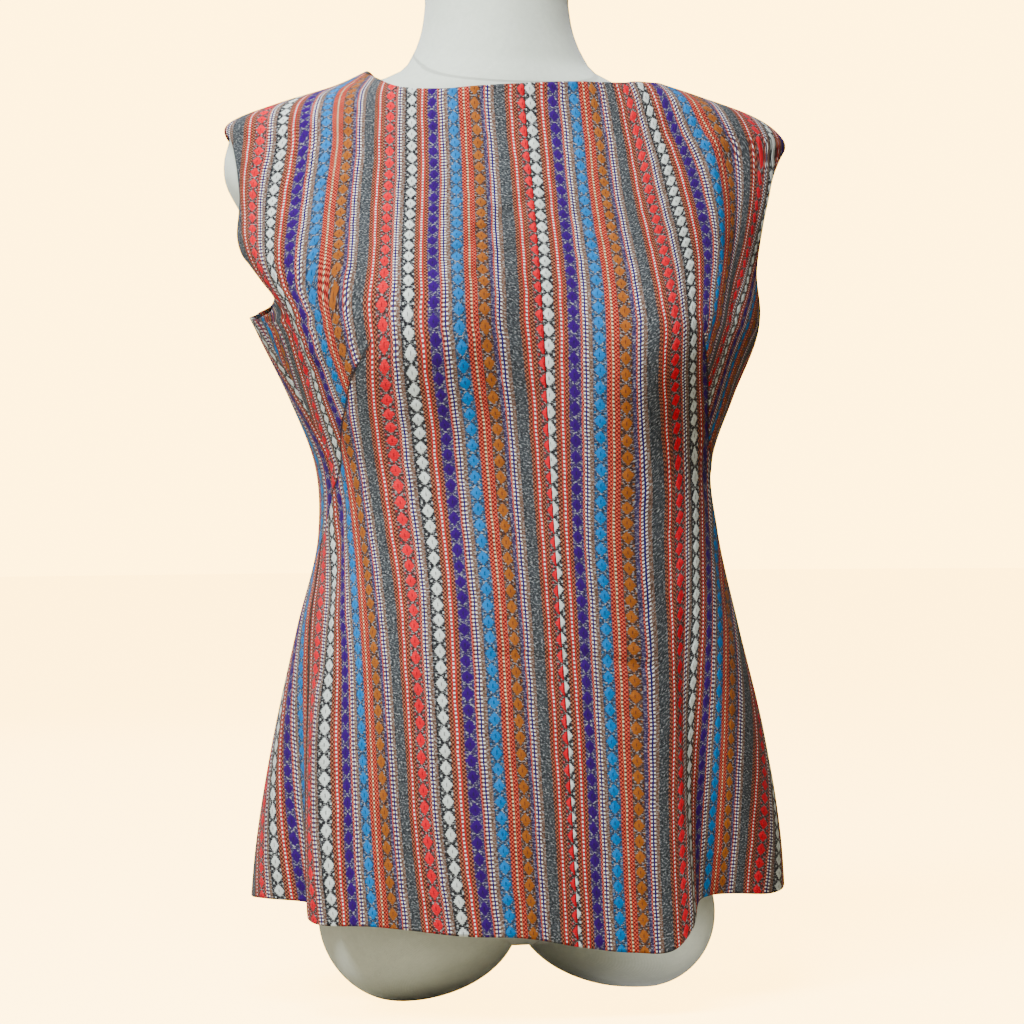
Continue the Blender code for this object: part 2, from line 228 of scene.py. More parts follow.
# Darts: height, distance from the centre front in millimetres on the wearer's right and left
DART_LINES = [
    (0.350, 212, 240), (0.376, 175.6, 196), (0.392, 163.4, 172), (0.404, 160.6, 157),
    (0.415, 157.1, 148.5), (0.430, 152.6, 143.2), (0.449, 148.3, 138.9), (0.479, 131.5, 131.0),
    (0.490, 126.0, 128.0),
]
DART_TIPS = (0.479, 0.486)

# How fast the woven pattern runs along the stripes at a height
PATTERN_PACE = [
    (0.04, 1.06), (0.10, 1.08), (0.15, 1.05), (0.25, 1.03), (0.40, 1.02), (0.49, 1.04),
    (0.515, 1.18), (0.556, 1.38), (0.598, 1.25), (0.64, 1.13), (0.68, 1.08),
]

# Small creases of each panel: line (millimetres from the centre seam, height), lift in metres
# (sunk is -), half width in millimetres
CREASES = {
    "front_right": [
        ([(-230, 0.533), (-215, 0.512), (-203, 0.493), (-189, 0.457)], -0.0030, 5),
        ([(-224, 0.556), (-206, 0.528), (-192, 0.500), (-182, 0.470)], 0.0018, 8),
        ([(-77, 0.533), (-45, 0.554), (-10, 0.577)], -0.0011, 7),
        ([(-62, 0.550), (-32, 0.572)], 0.0009, 8),
        ([(-55, 0.524), (-26, 0.540), (-6, 0.549)], -0.0007, 5),
        ([(-67, 0.255), (-6, 0.251)], -0.0009, 4),
        ([(-67, 0.263), (-6, 0.259)], 0.0006, 4),
        ([(-153, 0.422), (-159, 0.350), (-162, 0.279)], 0.0014, 7),
        ([(-170, 0.360), (-184, 0.300), (-192, 0.240)], -0.0016, 7),
        ([(-120, 0.385), (-136, 0.330), (-140, 0.270)], -0.0008, 9),
    ],
    "front_left": [
        ([(150, 0.630), (148, 0.580), (150, 0.530), (140, 0.500)], 0.0016, 10),
        ([(170, 0.620), (172, 0.560), (172, 0.505)], -0.0016, 9),
        ([(95, 0.070), (92, 0.150), (95, 0.220), (104, 0.300)], 0.0014, 7),
        ([(0, 0.254), (68, 0.243)], -0.0009, 4),
        ([(0, 0.262), (68, 0.251)], 0.0006, 4),
        ([(152, 0.400), (160, 0.340), (172, 0.280)], -0.0014, 8),
        ([(12, 0.575), (52, 0.560)], -0.0006, 7),
        ([(60, 0.360), (110, 0.335)], -0.0007, 8),
    ],
    "back_right": [
        ([(-150, 0.545), (-110, 0.505), (-60, 0.490)], -0.0009, 9),
        ([(-25, 0.352), (-100, 0.338)], -0.0010, 9),
        ([(-30, 0.372), (-95, 0.360)], 0.0008, 8),
        ([(-140, 0.330), (-160, 0.240)], -0.0014, 9),
        ([(-205, 0.500), (-170, 0.455), (-150, 0.420)], -0.0016, 7),
    ],
    "back_left": [
        ([(155, 0.540), (115, 0.512), (50, 0.498)], -0.0009, 10),
        ([(20, 0.343), (88, 0.350)], -0.0010, 10),
        ([(24, 0.365), (80, 0.371)], 0.0008, 8),
        ([(138, 0.340), (165, 0.235)], -0.0014, 10),
        ([(200, 0.490), (172, 0.450), (150, 0.425)], -0.0014, 8),
    ],
}

# Flat cut of each panel: widest, longest, area
CUTS = {
    "front_right": (0.322, 0.655, 0.149),
    "front_left": (0.317, 0.655, 0.153),
    "back_right": (0.250, 0.640, 0.135),
    "back_left": (0.257, 0.640, 0.141),
}

# Distance of the stripes' start from the centre back in millimetres, wearer's right and left
BACK_START = (30.0, 4.0)

# Start of the pattern along the fronts in millimetres, wearer's right and left
FRONT_RUN = (-3.9, 0.0)

# Studio: colours and strengths, then name, place, target, size, power and colour of each light
BACKDROP = (1.0, 0.61, 0.14, 1)
BACKDROP_GLOW = 12.6
FLOOR_GLOW = 11.0
FLOOR_PAINT = (0.58, 0.50, 0.38, 1)
ROOM = (1.0, 0.80, 0.62, 1)
ROOM_LIGHT = 0.075
LIGHTS = [
    ("key", (-1.7, -0.95, 2.2), (0, 0, 0.5), 0.8, 132, (0.88, 0.97, 1.0)),
    ("overhead", (-0.38, -0.68, 1.62), (0, 0, 0.66), 0.6, 44, (0.95, 0.98, 1.0)),
    ("low_front", (-1.3, -1.9, 0.1), (0, 0, 0.12), 0.8, 3.6, (0.90, 0.97, 1.0)),
    ("fill", (1.9, -0.9, 0.4), (0, 0, 0.1), 1.4, 0.15, (1, 0.62, 0.38)),
    ("back", (-0.5, 2.2, 1.4), (0, 0, 0.35), 1.2, 36, (1.0, 0.98, 0.95)),
]

# Jersey of the form: pale and dark, the shoulder line, the neck seam's slope and height,
# millimetres round the body for each radian
JERSEY_DARK, JERSEY_PALE = (0.34, 0.36, 0.30, 1), (0.53, 0.56, 0.47, 1)
SHOULDER_LINE_Y = 0.020
NECK_SEAM = (0.425, 0.6986)
FORM_ROUND = 110.0

FORM_COLUMNS = 160
FORM_ROW_STEP = 0.006
STUB_CENTRE = (0.092, -0.008, 0.056)
STUB_RADII = (0.056, 0.095, 0.060)
STUB_INNER_REACH = 0.090


def smooth_between(places, values, at, pick):
    """Smooth curve through values at places; pick takes the values of a stretch's start."""
    slopes = np.gradient(values, places, axis=0)
    at = np.clip(at, places[0], places[-1])
    i = np.clip(np.searchsorted(places, at) - 1, 0, len(places) - 2)
    step = places[i + 1] - places[i]
    t = (at - places[i]) / step
    start = (1 + 2 * t) * (1 - t) ** 2 * pick(values, i) + t * (1 - t) ** 2 * step * pick(slopes, i)
    end = t * t * (3 - 2 * t) * pick(values, i + 1) + t * t * (t - 1) * step * pick(slopes, i + 1)
    return start + end


def look_up(table, column, at):
    """Smooth curve through one column of a table, whose first column is the position."""
    places = np.array([row[0] for row in table], float)
    values = np.array([row[column] for row in table], float)
    return smooth_between(places, values, at, lambda grid, i: grid[i])


def degrees_round(angle):
    """Angle in degrees between -180 and 180."""
    return (np.degrees(angle) + 180) % 360 - 180


def flute_depth(angle, height):
    """How far the skirt's soft flutes push the cloth outwards."""
    place = degrees_round(angle)
    depth = 0.0 * place
    for hem_angle, top_angle, top, half_width, reach in FLUTES:
        run = np.clip((top - height) / (top - FLUTE_HEM), 0, 1.1)
        centre = top_angle + (hem_angle - top_angle) * run
        depth = depth + reach * run ** 1.3 * np.exp(-((place - centre) / half_width) ** 2)
    return depth


def bust(x, y, height):
    """Fullness of the bust, none on the back."""
    front = np.clip(-y / 0.05, 0, 1)
    across = ((np.abs(x) - BUST_SIDE) / BUST_REACH[0]) ** 2
    up = ((height - BUST_HEIGHT) / BUST_REACH[1]) ** 2
    return BUST_FULLNESS * front * np.exp(-across - up)


def round_section(angle, right, left, front, back, squareness, extra=0.0):
    """Point of a rounded section at an angle from the centre front."""
    sine, cosine = np.sin(angle), np.cos(angle)
    wide = np.where(sine < 0, right, left)
    deep = np.where(cosine > 0, front, back)
    reach = (np.abs(sine / wide) ** squareness + np.abs(cosine / deep) ** squareness)
    reach = reach ** (-1 / squareness) + extra
    return reach * sine, -reach * cosine


def tunic_point(angle, share):
    """Point of the tunic's outer face at a share of the way from hem to neckline."""
    place = degrees_round(angle)
    height = look_up(HEM_LINE, 1, place) * (1 - share) + look_up(NECK_LINE, 1, place) * share
    right, left, front, back, squareness, centre = [
        look_up(TUNIC_SECTIONS, column, height) for column in range(1, 7)]
    x, y = round_section(angle, right, left, front, back, squareness,
                         flute_depth(angle, height))
    y = y - bust(x, y, height) + centre
    return np.stack([x, y, height + 0 * x], -1)


def tunic_normal(angle, share):
    """Outward direction of the tunic's outer face."""
    turn, climb = 0.002, 0.0008
    round_body = tunic_point(angle + turn, share) - tunic_point(angle - turn, share)
    up_body = tunic_point(angle, share + climb) - tunic_point(angle, share - climb)
    normal = np.cross(round_body, up_body)
    return normal / np.linalg.norm(normal, axis=-1, keepdims=True)


def share_of(height, side):
    """Share of the way up the side line at a height."""
    hem = look_up(HEM_LINE, 1, side * 90)
    return float((height - hem) / (NECK_POINT - hem))


def outer_edge(share, side, front):
    """Angle of a panel's side seam, armhole or shoulder seam, from the centre front."""
    hem = look_up(HEM_LINE, 1, side * 90)
    height = float(hem + (NECK_POINT - hem) * share)
    seam = 1 if side < 0 else 2
    if height <= UNDERARM + 1e-6:
        return math.radians(look_up(SIDE_SEAMS, seam, height))
    if height >= SHOULDER_TIP - 1e-6:
        return math.pi / 2
    way_up = (height - UNDERARM) / (SHOULDER_TIP - UNDERARM)
    cut = float(look_up(ARMHOLES, seam if front else seam + 2, way_up))
    underarm = math.radians(look_up(SIDE_SEAMS, seam, UNDERARM))
    straight = underarm + (math.pi / 2 - underarm) * way_up
    wide = look_up(TUNIC_SECTIONS, seam, height)
    deep = look_up(TUNIC_SECTIONS, 3 if front else 4, height)
    squareness = look_up(TUNIC_SECTIONS, 5, height)
    out = wide * (1 - min(cut / deep, 0.95) ** squareness) ** (1 / squareness)
    swing = math.atan2(cut, out)
    return straight - swing if front else straight + swing


def panel_shares(side):
    """Rows of a panel: hem to underarm, armhole with closer rows at its ends, shoulder."""
    underarm = share_of(UNDERARM, side)
    tip = share_of(SHOULDER_TIP, side)
    skirt = np.linspace(0, underarm, SKIRT_ROWS + 1)
    even = np.linspace(0, 1, ARMHOLE_ROWS + 1)
    eased = 0.5 * even + 0.25 * (1 - np.cos(math.pi * even))
    armhole = underarm + (tip - underarm) * eased
    shoulder = np.linspace(tip, 1, SHOULDER_ROWS + 1)
    return np.concatenate([skirt, armhole[1:], shoulder[1:]])


def row_angles(share, side, front):
    """Angles along a row, evenly spaced on the cloth, and their distance from the centre seam."""
    centre = 0.0 if front else math.pi
    fine = np.linspace(centre, outer_edge(share, side, front), 361) * side
    points = tunic_point(fine, share)
    lengths = np.linalg.norm(np.diff(points, axis=0), axis=1)
    along = np.concatenate([[0], np.cumsum(lengths)])
    places = np.linspace(SEAM_GAP / 2, along[-1] - SEAM_GAP / 2, COLUMNS + 1)
    return np.interp(places, along, fine), places


def soft_line(distance, half_width):
    """1 on a line and 0 a few half widths away."""
    return np.exp(-(distance / half_width) ** 2)


def soft_step(value, low, high):
    """0 below low and 1 above high."""
    t = np.clip((value - low) / (high - low), 0, 1)
    return t * t * (3 - 2 * t)


def grain(table, places, across, height):
    """Offset of the stripes in millimetres, smooth up the cloth and across it."""
    values = np.stack([look_up(table, k + 1, height) for k in range(len(places))])
    return smooth_between(np.array(places, float), values, across,
                          lambda grid, i: np.take_along_axis(grid, i[None], 0)[0])


def soften(grid, rows, columns):
    """Mean of a grid over this many rows and columns to each side, taken twice."""
    for _ in range(2):
        for axis, reach in ((0, rows), (1, columns)):
            edges = [(reach + 1, reach) if k == axis else (0, 0) for k in (0, 1)]
            total = np.cumsum(np.pad(grid, edges, mode='edge'), axis=axis)
            size = grid.shape[axis]
            upper = np.take(total, np.arange(2 * reach + 1, size + 2 * reach + 1), axis)
            lower = np.take(total, np.arange(0, size), axis)
            grid = (upper - lower) / (2 * reach + 1)
    return grid


def cloth_places(side, front, across, along, straight, height):
    """Places on the flat striped cloth in millimetres, inside and outside the dart, and the
    distance outside the dart's line, for a panel's points."""
    millimetres = across * 1000 * side
    run = along * 1000
    if not front:
        place = np.stack([millimetres + BACK_START[0 if side < 0 else 1], run], -1)
        return place, place, 0 * millimetres - 20
    k = 0 if side < 0 else 1
    main, outer = [grain(*table, millimetres, height) for table in GRAINS[k]]
    line, tip = look_up(DART_LINES, k + 1, height), DART_TIPS[k]
    run = run + FRONT_RUN[k]
    main = soften(main, 8, 4)
    outside = soft_step(abs(millimetres), 126, 142) * (1 - soft_step(height, tip - 0.002, 0.515))
    above = soft_step(height, tip - 0.008, tip - 0.004)
    low = main + (outer - main) * outside * above
    side_drift = outer + (main - outer) * soft_step(height, tip - 0.002, 0.515)
    dart = np.where(height > tip, -20.0, abs(millimetres) - line)
    past = np.where(height > tip, outside, soft_step(dart, -4, 4))
    drift = main + (side_drift - main) * past
    widen = np.gradient(drift, axis=1) / np.gradient(millimetres, axis=1)
    rise = np.gradient(drift, axis=0) - widen * np.gradient(millimetres, axis=0)
    rise = rise / (np.gradient(height, axis=0) * 1000)
    lean = soften(np.clip(rise / np.clip(1 + widen, 0.6, 2.0), -0.55, 0.55), 12, 5)
    step = np.diff(millimetres, axis=1)
    straight = 1000 * straight
    slide = 1000 * np.diff(along, axis=0) - straight
    run = run - np.concatenate([0 * run[:, :1], np.cumsum(lean[:, 1:] * step, axis=1)], axis=1)
    shear = (lean[1:] + lean[:-1]) / 2 * np.diff(millimetres, axis=0) - slide
    pace = (np.diff(run, axis=0) + shear) / straight
    pace = soften(np.clip(pace, 0.75, 1.3), 6, 4) * straight - shear
    run = np.concatenate([run[:1], run[:1] + np.cumsum(pace, axis=0)])
    return (np.stack([millimetres + low, run], -1),
            np.stack([millimetres + side_drift, run], -1), dart)


def panel_grid(side, front):
    """Outer points, normals and distance from the centre seam of a panel."""
    rows = []
    for share in panel_shares(side):
        angles, across = row_angles(share, side, front)
        rows.append((tunic_point(angles, share), tunic_normal(angles, share), across))
    return [np.array(grid) for grid in zip(*rows)]


def climb_of(outer, across):
    """Distance up the cloth from the hem, followed at one distance from the centre seam, and
    its step from each row to the next."""
    lines = np.linspace(0, across.max(), across.shape[1])
    climbed = 0 * lines
    climb, straight = [0 * across[0]], []
    for low, high, low_row, high_row in zip(outer, outer[1:], across, across[1:]):
        at = np.minimum(lines, min(low_row[-1], high_row[-1]))
        start, end = [np.stack([np.interp(at, places, row[:, k]) for k in range(3)], -1)
                      for places, row in ((low_row, low), (high_row, high))]
        step = np.linalg.norm(end - start, axis=-1) * look_up(PATTERN_PACE, 1, end[:, 2])
        climbed = climbed + step
        climb.append(np.interp(high_row, lines, climbed))
        straight.append(np.interp(high_row, lines, step))
    return np.array(climb), np.array(straight)


def crease_lift(creases, millimetres, height):
    """Lift of the small creases at places on a panel."""
    lift = 0 * millimetres
    for line, reach, half_width in creases:
        nearest = 0 * millimetres + 1e6
        for (s0, h0), (s1, h1) in zip(line, line[1:]):
            run, climb = s1 - s0, (h1 - h0) * 1000
            along, up = millimetres - s0, (height - h0) * 1000
            part = np.clip((along * run + up * climb) / (run * run + climb * climb), 0, 1)
            nearest = np.minimum(nearest, np.hypot(along - part * run, up - part * climb))
        lift += reach * soft_line(nearest, half_width)
    return lift


def panel_relief(side, front, creases, across, height, dart):
    """How far the seams, the dart's line and small creases lift or sink a panel's outer face."""
    relief = -SEAM_SINK * soft_line(across, SEAM_WIDTH)
    skirt = (np.arange(len(height)) <= SKIRT_ROWS)[:, None]
    relief -= SEAM_SINK * skirt * soft_line(across[:, -1:] - across, SEAM_WIDTH)
    if front:
        tip = DART_TIPS[0 if side < 0 else 1]
        fade = 1 - soft_step(height, tip - 0.02, tip)
        relief -= DART_SINK * fade * soft_line(dart, 1.3)
        lip = np.where(dart > 0, np.exp(-abs(dart) / 9), -0.5 * np.exp(-abs(dart) / 5))
        relief += DART_LIP * fade * lip
    return relief + crease_lift(creases, across * side * 1000, height)


def shell_mesh(name, outer, inner, edge_turn, inside_dart, outside_dart, dart):
    """Closed cloth shell: a fine face, a coarser back and a rim that is rounded at open edges."""
    rows, columns = outer.shape[:2]
    back_rows = np.arange(0, rows, LINING_STEP)
    back_columns = np.arange(0, columns, LINING_STEP)
    face_index = np.arange(rows * columns).reshape(rows, columns)
    back_index = rows * columns + np.arange(len(back_rows) * len(back_columns))
    back_index = back_index.reshape(len(back_rows), len(back_columns))
    rim = [(0, i) for i in range(columns - 1)]
    rim += [(j, columns - 1) for j in range(rows - 1)]
    rim += [(rows - 1, i) for i in range(columns - 1, 0, -1)]
    rim += [(j, 0) for j in range(rows - 1, 0, -1)]
    rim_j = np.array([place[0] for place in rim])
    rim_i = np.array([place[1] for place in rim])
    first_rim = rows * columns + back_index.size
    middle = (outer[rim_j, rim_i] + inner[rim_j, rim_i]) / 2 + edge_turn[rim_j, rim_i]
    back = inner[np.ix_(back_rows, back_columns)]
    vertices = np.concatenate([outer.reshape(-1, 3), back.reshape(-1, 3), middle])

    def quads(index):
        low, high = index[:-1], index[1:]
        return np.stack([low[:, :-1], low[:, 1:], high[:, 1:], high[:, :-1]], -1).reshape(-1, 4)

    faces = quads(face_index).tolist() + quads(back_index)[:, ::-1].tolist()
    count = len(rim)
    for k in range(count):
        j, i = rim[k]
        l, m = rim[(k + 1) % count]
        faces.append((int(face_index[l, m]), int(face_index[j, i]), first_rim + k,
                      first_rim + (k + 1) % count))
    for k in range(0, count, LINING_STEP):
        j, i = rim[k]
        l, m = rim[(k + LINING_STEP) % count]
        run = [first_rim + (k + step) % count for step in range(LINING_STEP + 1)]
        near = int(back_index[j // LINING_STEP, i // LINING_STEP])
        far = int(back_index[l // LINING_STEP, m // LINING_STEP])
        faces.append((*run[::-1], near, far))
    mesh = bpy.data.meshes.new(name)
    mesh.from_pydata(vertices.tolist(), [], faces)
    mesh.update()

    def at_vertices(grid):
        flat = grid.reshape(rows, columns, -1)
        picked = [flat.reshape(rows * columns, -1), flat[np.ix_(back_rows, back_columns)],
                  flat[rim_j, rim_i]]
        return np.concatenate([part.reshape(-1, flat.shape[2]) for part in picked])

    corner = np.zeros(len(mesh.loops), int)
    mesh.loops.foreach_get("vertex_index", corner)
    for layer_name, grid in (("cloth", inside_dart), ("cloth_side", outside_dart)):
        layer = mesh.uv_layers.new(name=layer_name)
        layer.uv.foreach_set("vector", (at_vertices(grid)[corner] / 1000).ravel())
    outside = mesh.attributes.new("dart", 'FLOAT', 'POINT')
    outside.data.foreach_set("value", at_vertices(dart).ravel())
    mesh.shade_smooth()
    if mesh.validate():
        raise ValueError(name + " has a broken face")
    return mesh


def make_panel(node, material):
    """One cut piece of the tunic."""
    front = node.startswith("front")
    side = -1 if node.endswith("right") else 1
    outer, normals, across = panel_grid(side, front)
    height = outer[..., 2]
    along, straight = climb_of(outer, across)
    inside_dart, outside_dart, dart = cloth_places(side, front, across, along, straight, height)
    relief = panel_relief(side, front, CREASES[node], across, height, dart)
    outer = outer + normals * relief[..., None]
    inner = outer - CLOTH_THICKNESS * normals
    turn = np.zeros_like(outer)
    arm = slice(SKIRT_ROWS + 1, SKIRT_ROWS + ARMHOLE_ROWS)
    for edge, beside in ((0, 1), (-1, -2), ((arm, -1), (arm, -2))):
        out = outer[edge] - outer[beside]
        turn[edge] += EDGE_BULGE * out / np.linalg.norm(out, axis=-1, keepdims=True)
    shift = np.array([-OUTLINE_CENTRE[0], -OUTLINE_CENTRE[1], 0])
    name = node + "_cloth"
    mesh = shell_mesh(name, outer + shift, inner + shift, turn, inside_dart, outside_dart, dart)
    bm = bmesh.new()
    bm.from_mesh(mesh)
    bmesh.ops.recalc_face_normals(bm, faces=bm.faces)
    bm.to_mesh(mesh)
    bm.free()
    panel = bpy.data.objects.new(name, mesh)
    bpy.context.scene.collection.objects.link(panel)
    mesh.materials.append(material)
    return panel


def form_ring(height):
    """Evenly spaced points round the dress form."""
    width, front, back, squareness, centre = [
        look_up(FORM_SECTIONS, column, height) for column in range(1, 6)]
    fine = np.linspace(-math.pi, math.pi, 721)
    x, y = round_section(fine, width, width, front, back, squareness)
    y = y - bust(x, y, height) + centre
    along = np.concatenate([[0], np.cumsum(np.hypot(np.diff(x), np.diff(y)))])
    places = np.linspace(0, along[-1], FORM_COLUMNS + 1)[:-1]
    return [(float(np.interp(p, along, x)), float(np.interp(p, along, y)), height)
            for p in places]


def solid_piece(name, faces):
    """A named piece from its faces, all turned outwards."""
    bmesh.ops.recalc_face_normals(faces, faces=faces.faces)
    mesh = bpy.data.meshes.new(name)
    faces.to_mesh(mesh)
    faces.free()
    piece = bpy.data.objects.new(name, mesh)
    bpy.context.scene.collection.objects.link(piece)
    return piece


def make_form(name, material):
    """Limbless torso with a plain neck, joined to two rounded thigh stubs."""
    body = bmesh.new()
    heights = [FORM_SECTIONS[0][0]]
    for row in FORM_SECTIONS[1:]:
        count = max(1, round((row[0] - heights[-1]) / FORM_ROW_STEP))
        heights += list(np.linspace(heights[-1], row[0], count + 1)[1:])
    rings = [[body.verts.new(point) for point in form_ring(height)]
             for height in heights]
    for low, high in zip(rings, rings[1:]):
        for i in range(FORM_COLUMNS):
            j = (i + 1) % FORM_COLUMNS
            body.faces.new((low[i], low[j], high[j], high[i]))
    body.faces.new(rings[0][::-1])
    body.faces.new(rings[-1])
    form = solid_piece(name, body)
    stubs = []
    for side in (-1, 1):
        stub = bmesh.new()
        bmesh.ops.create_uvsphere(stub, u_segments=72, v_segments=42, radius=1.0)
        bmesh.ops.scale(stub, verts=stub.verts, vec=STUB_RADII)
        for vertex in stub.verts:
            if vertex.co.x * side < 0:
                vertex.co.x *= STUB_INNER_REACH / STUB_RADII[0]
        bmesh.ops.translate(stub, verts=stub.verts,
                            vec=(side * STUB_CENTRE[0], STUB_CENTRE[1], STUB_CENTRE[2]))
        geometry = stub.verts[:] + stub.edges[:] + stub.faces[:]
        cut = bmesh.ops.bisect_plane(stub, geom=geometry, dist=1e-6, plane_co=(0, 0, 0),
                                     plane_no=(0, 0, -1), clear_outer=True)
        edges = [item for item in cut["geom_cut"] if isinstance(item, bmesh.types.BMEdge)]
        bmesh.ops.contextual_create(stub, geom=edges)
        item = solid_piece("stub", stub)
        join = form.modifiers.new("stub", 'BOOLEAN')
        join.operation = 'UNION'
        join.solver = 'EXACT'
        join.object = item
        stubs.append(item)
    bpy.context.view_layer.update()
    graph = bpy.context.evaluated_depsgraph_get()
    joined = bpy.data.meshes.new_from_object(form.evaluated_get(graph))
    form.modifiers.clear()
    form.data = joined
    for item in stubs:
        bpy.data.objects.remove(item)
    joined.transform(Matrix.Translation((-OUTLINE_CENTRE[0], -OUTLINE_CENTRE[1], 0)))
    joined.shade_smooth()
    joined.materials.clear()
    joined.materials.append(material)
    return form


class Tree:
    """Short calls that build one node tree."""

    def __init__(self, tree):
        self.tree = tree

    def add(self, kind, **settings):
        node = self.tree.nodes.new(kind)
        for name, value in settings.items():
            setattr(node, name, value)
        return node

    def put(self, value, socket):
        if isinstance(value, bpy.types.NodeSocket):
            self.tree.links.new(value, socket)
        elif value is not None:
            socket.default_value = value

    def math(self, operation, first, second=None, third=None, clamp=False):
        node = self.add('ShaderNodeMath', operation=operation, use_clamp=clamp)
        for value, socket in zip((first, second, third), node.inputs):
            self.put(value, socket)
        return node.outputs[0]

    def times(self, first, second):
        return self.math('MULTIPLY', first, second)

    def minus(self, first, second):
        return self.math('SUBTRACT', first, second)

    def size(self, value):
        return self.math('ABSOLUTE', value)

    def blend(self, value, scale, offset, clamp=False):
        """Value times scale plus offset."""
        return self.math('MULTIPLY_ADD', value, scale, offset, clamp)

    def group(self, tree, across, along):
        node = self.add('ShaderNodeGroup', node_tree=tree)
        self.put(across, node.inputs["Across"])
        self.put(along, node.inputs["Along"])
        return node

    def place(self, across, along):
        node = self.add('ShaderNodeCombineXYZ')
        self.put(across, node.inputs[0])
        self.put(along, node.inputs[1])
        return node.outputs[0]

    def parts(self, place):
        node = self.add('ShaderNodeSeparateXYZ')
        self.put(place, node.inputs[0])
        return node.outputs

    def relief(self, shader, height, strength, distance):
        """Bump the shader's surface by a height."""
        node = self.add('ShaderNodeBump')
        node.inputs["Strength"].default_value = strength
        node.inputs["Distance"].default_value = distance
        self.put(height, node.inputs["Height"])
        self.put(node.outputs[0], shader.inputs["Normal"])

    def seen(self, unseen, seen, surface):
        """One look for the camera and another for the light that falls on things."""
        node = self.add('ShaderNodeMixShader')
        self.put(self.add('ShaderNodeLightPath').outputs["Is Camera Ray"], node.inputs[0])
        self.put(unseen, node.inputs[1])
        self.put(seen, node.inputs[2])
        self.put(node.outputs[0], surface)

    def mix(self, share, first, second, blend='MIX'):
        node = self.add('ShaderNodeMix', data_type='RGBA', blend_type=blend)
        self.put(share, node.inputs[0])
        self.put(first, node.inputs[6])
        self.put(second, node.inputs[7])
        return node.outputs[2]

    def ramp(self, place, stops, interpolation='CONSTANT'):
        node = self.add('ShaderNodeValToRGB')
        ramp = node.color_ramp
        ramp.interpolation = interpolation
        while len(ramp.elements) < len(stops):
            ramp.elements.new(0.5)
        for element, (position, colour) in zip(ramp.elements, stops):
            element.position = position
            element.color = colour
        self.put(place, node.inputs[0])
        return node.outputs[0], node.outputs[1]

    def fade(self, value, low, high):
        """1 up to low and 0 from high on."""
        node = self.add('ShaderNodeMapRange', interpolation_type='SMOOTHSTEP')
        self.put(value, node.inputs["Value"])
        node.inputs["From Min"].default_value = low
        node.inputs["From Max"].default_value = high
        node.inputs["To Min"].default_value = 1.0
        node.inputs["To Max"].default_value = 0.0
        return node.outputs[0]

    def noise(self, place, scale, detail=2.0, roughness=0.5):
        node = self.add('ShaderNodeTexNoise')
        self.put(place, node.inputs["Vector"])
        node.inputs["Scale"].default_value = scale
        node.inputs["Detail"].default_value = detail
        node.inputs["Roughness"].default_value = roughness
        return node.outputs["Fac"]

    def wave(self, place, pitch):
        """Sine of a place in millimetres, from -1 to 1."""
        return self.math('SINE', self.times(place, 2 * math.pi / pitch))


def new_group(name, inputs, outputs):
    """Empty node group with named number inputs and named outputs."""
    group = bpy.data.node_groups.new(name, 'ShaderNodeTree')
    for title in inputs:
        group.interface.new_socket(title, in_out='INPUT', socket_type='NodeSocketFloat')
    for title, kind in outputs:
        group.interface.new_socket(title, in_out='OUTPUT', socket_type=kind)
    tree = Tree(group)
    entry = tree.add('NodeGroupInput')
    leave = tree.add('NodeGroupOutput')
    return tree, entry.outputs, leave.inputs


def screen(red, green, blue, extra=1.0):
    """Linear colour from the 0 to 255 values of a screen."""
    def linear(value):
        value = value / 255
        return value / 12.92 if value < 0.04045 else ((value + 0.055) / 1.055) ** 2.4
    return (linear(red), linear(green), linear(blue), extra)


# Yarn colours
CHARCOAL = (34, 34, 38)
BROWN_GREY = (72, 46, 44)
BROWN = (112, 50, 36)
RED_LINE = (186, 30, 30)
PINK_LINE = (190, 66, 62)
BEIGE = (108, 82, 68)
OFF_WHITE = (240, 238, 228)
NAVY = (34, 26, 92)
CREAM = (228, 214, 160)
RED_TWILL = (182, 30, 24)
PURPLE_GROUND = (56, 46, 84)
BLUE_GROUND = (42, 62, 86)
ORANGE_GROUND = (66, 46, 38)
HEATHER = (50, 54, 58)
PALE_HAIRS = (176, 178, 178)
DARK_HAIRS = (22, 20, 24)
BETWEEN_DOTS = (70, 34, 44)
TWILL_LIGHT = (206, 146, 108)
TWILL_DARK = (38, 24, 26)
CROSSING = (176, 174, 170)

# The stripes of one repeat: start in millimetres, colour, surface (0 plain, 0.25 heathered,
# 0.5 dotted, 1 speckled twill)
REPEAT = 111.4
STRIPES = [
    (0.0, BROWN_GREY, 0.25), (5.0, PINK_LINE, 1), (6.6, OFF_WHITE, 0.5), (7.9, NAVY, 0),
    (9.1, OFF_WHITE, 0.5), (10.4, BEIGE, 0.25), (13.2, CHARCOAL, 0.25), (23.2, BROWN, 1),
    (26.4, RED_LINE, 0), (27.4, OFF_WHITE, 0.5), (28.7, RED_LINE, 0), (29.6, BROWN, 1),
    (32.8, PURPLE_GROUND, 0.25), (41.2, PINK_LINE, 1), (42.9, OFF_WHITE, 0.5), (44.2, NAVY, 0),
    (45.4, OFF_WHITE, 0.5), (46.7, BEIGE, 0.25), (49.6, BLUE_GROUND, 0.25), (59.2, RED_TWILL, 1),
    (62.9, CREAM, 0.5), (64.2, RED_TWILL, 1), (68.2, ORANGE_GROUND, 0.25),
    (77.6, PURPLE_GROUND, 0.25), (80.2, PINK_LINE, 1), (81.5, OFF_WHITE, 0.5), (82.8, NAVY, 0),
    (84.0, OFF_WHITE, 0.5), (85.3, BEIGE, 0.25), (88.2, HEATHER, 0.25), (97.2, BROWN, 1),
    (100.2, RED_LINE, 0), (101.2, OFF_WHITE, 0.5), (102.5, RED_LINE, 0), (103.4, BROWN, 1),
    (106.6, BROWN_GREY, 0.25),
]

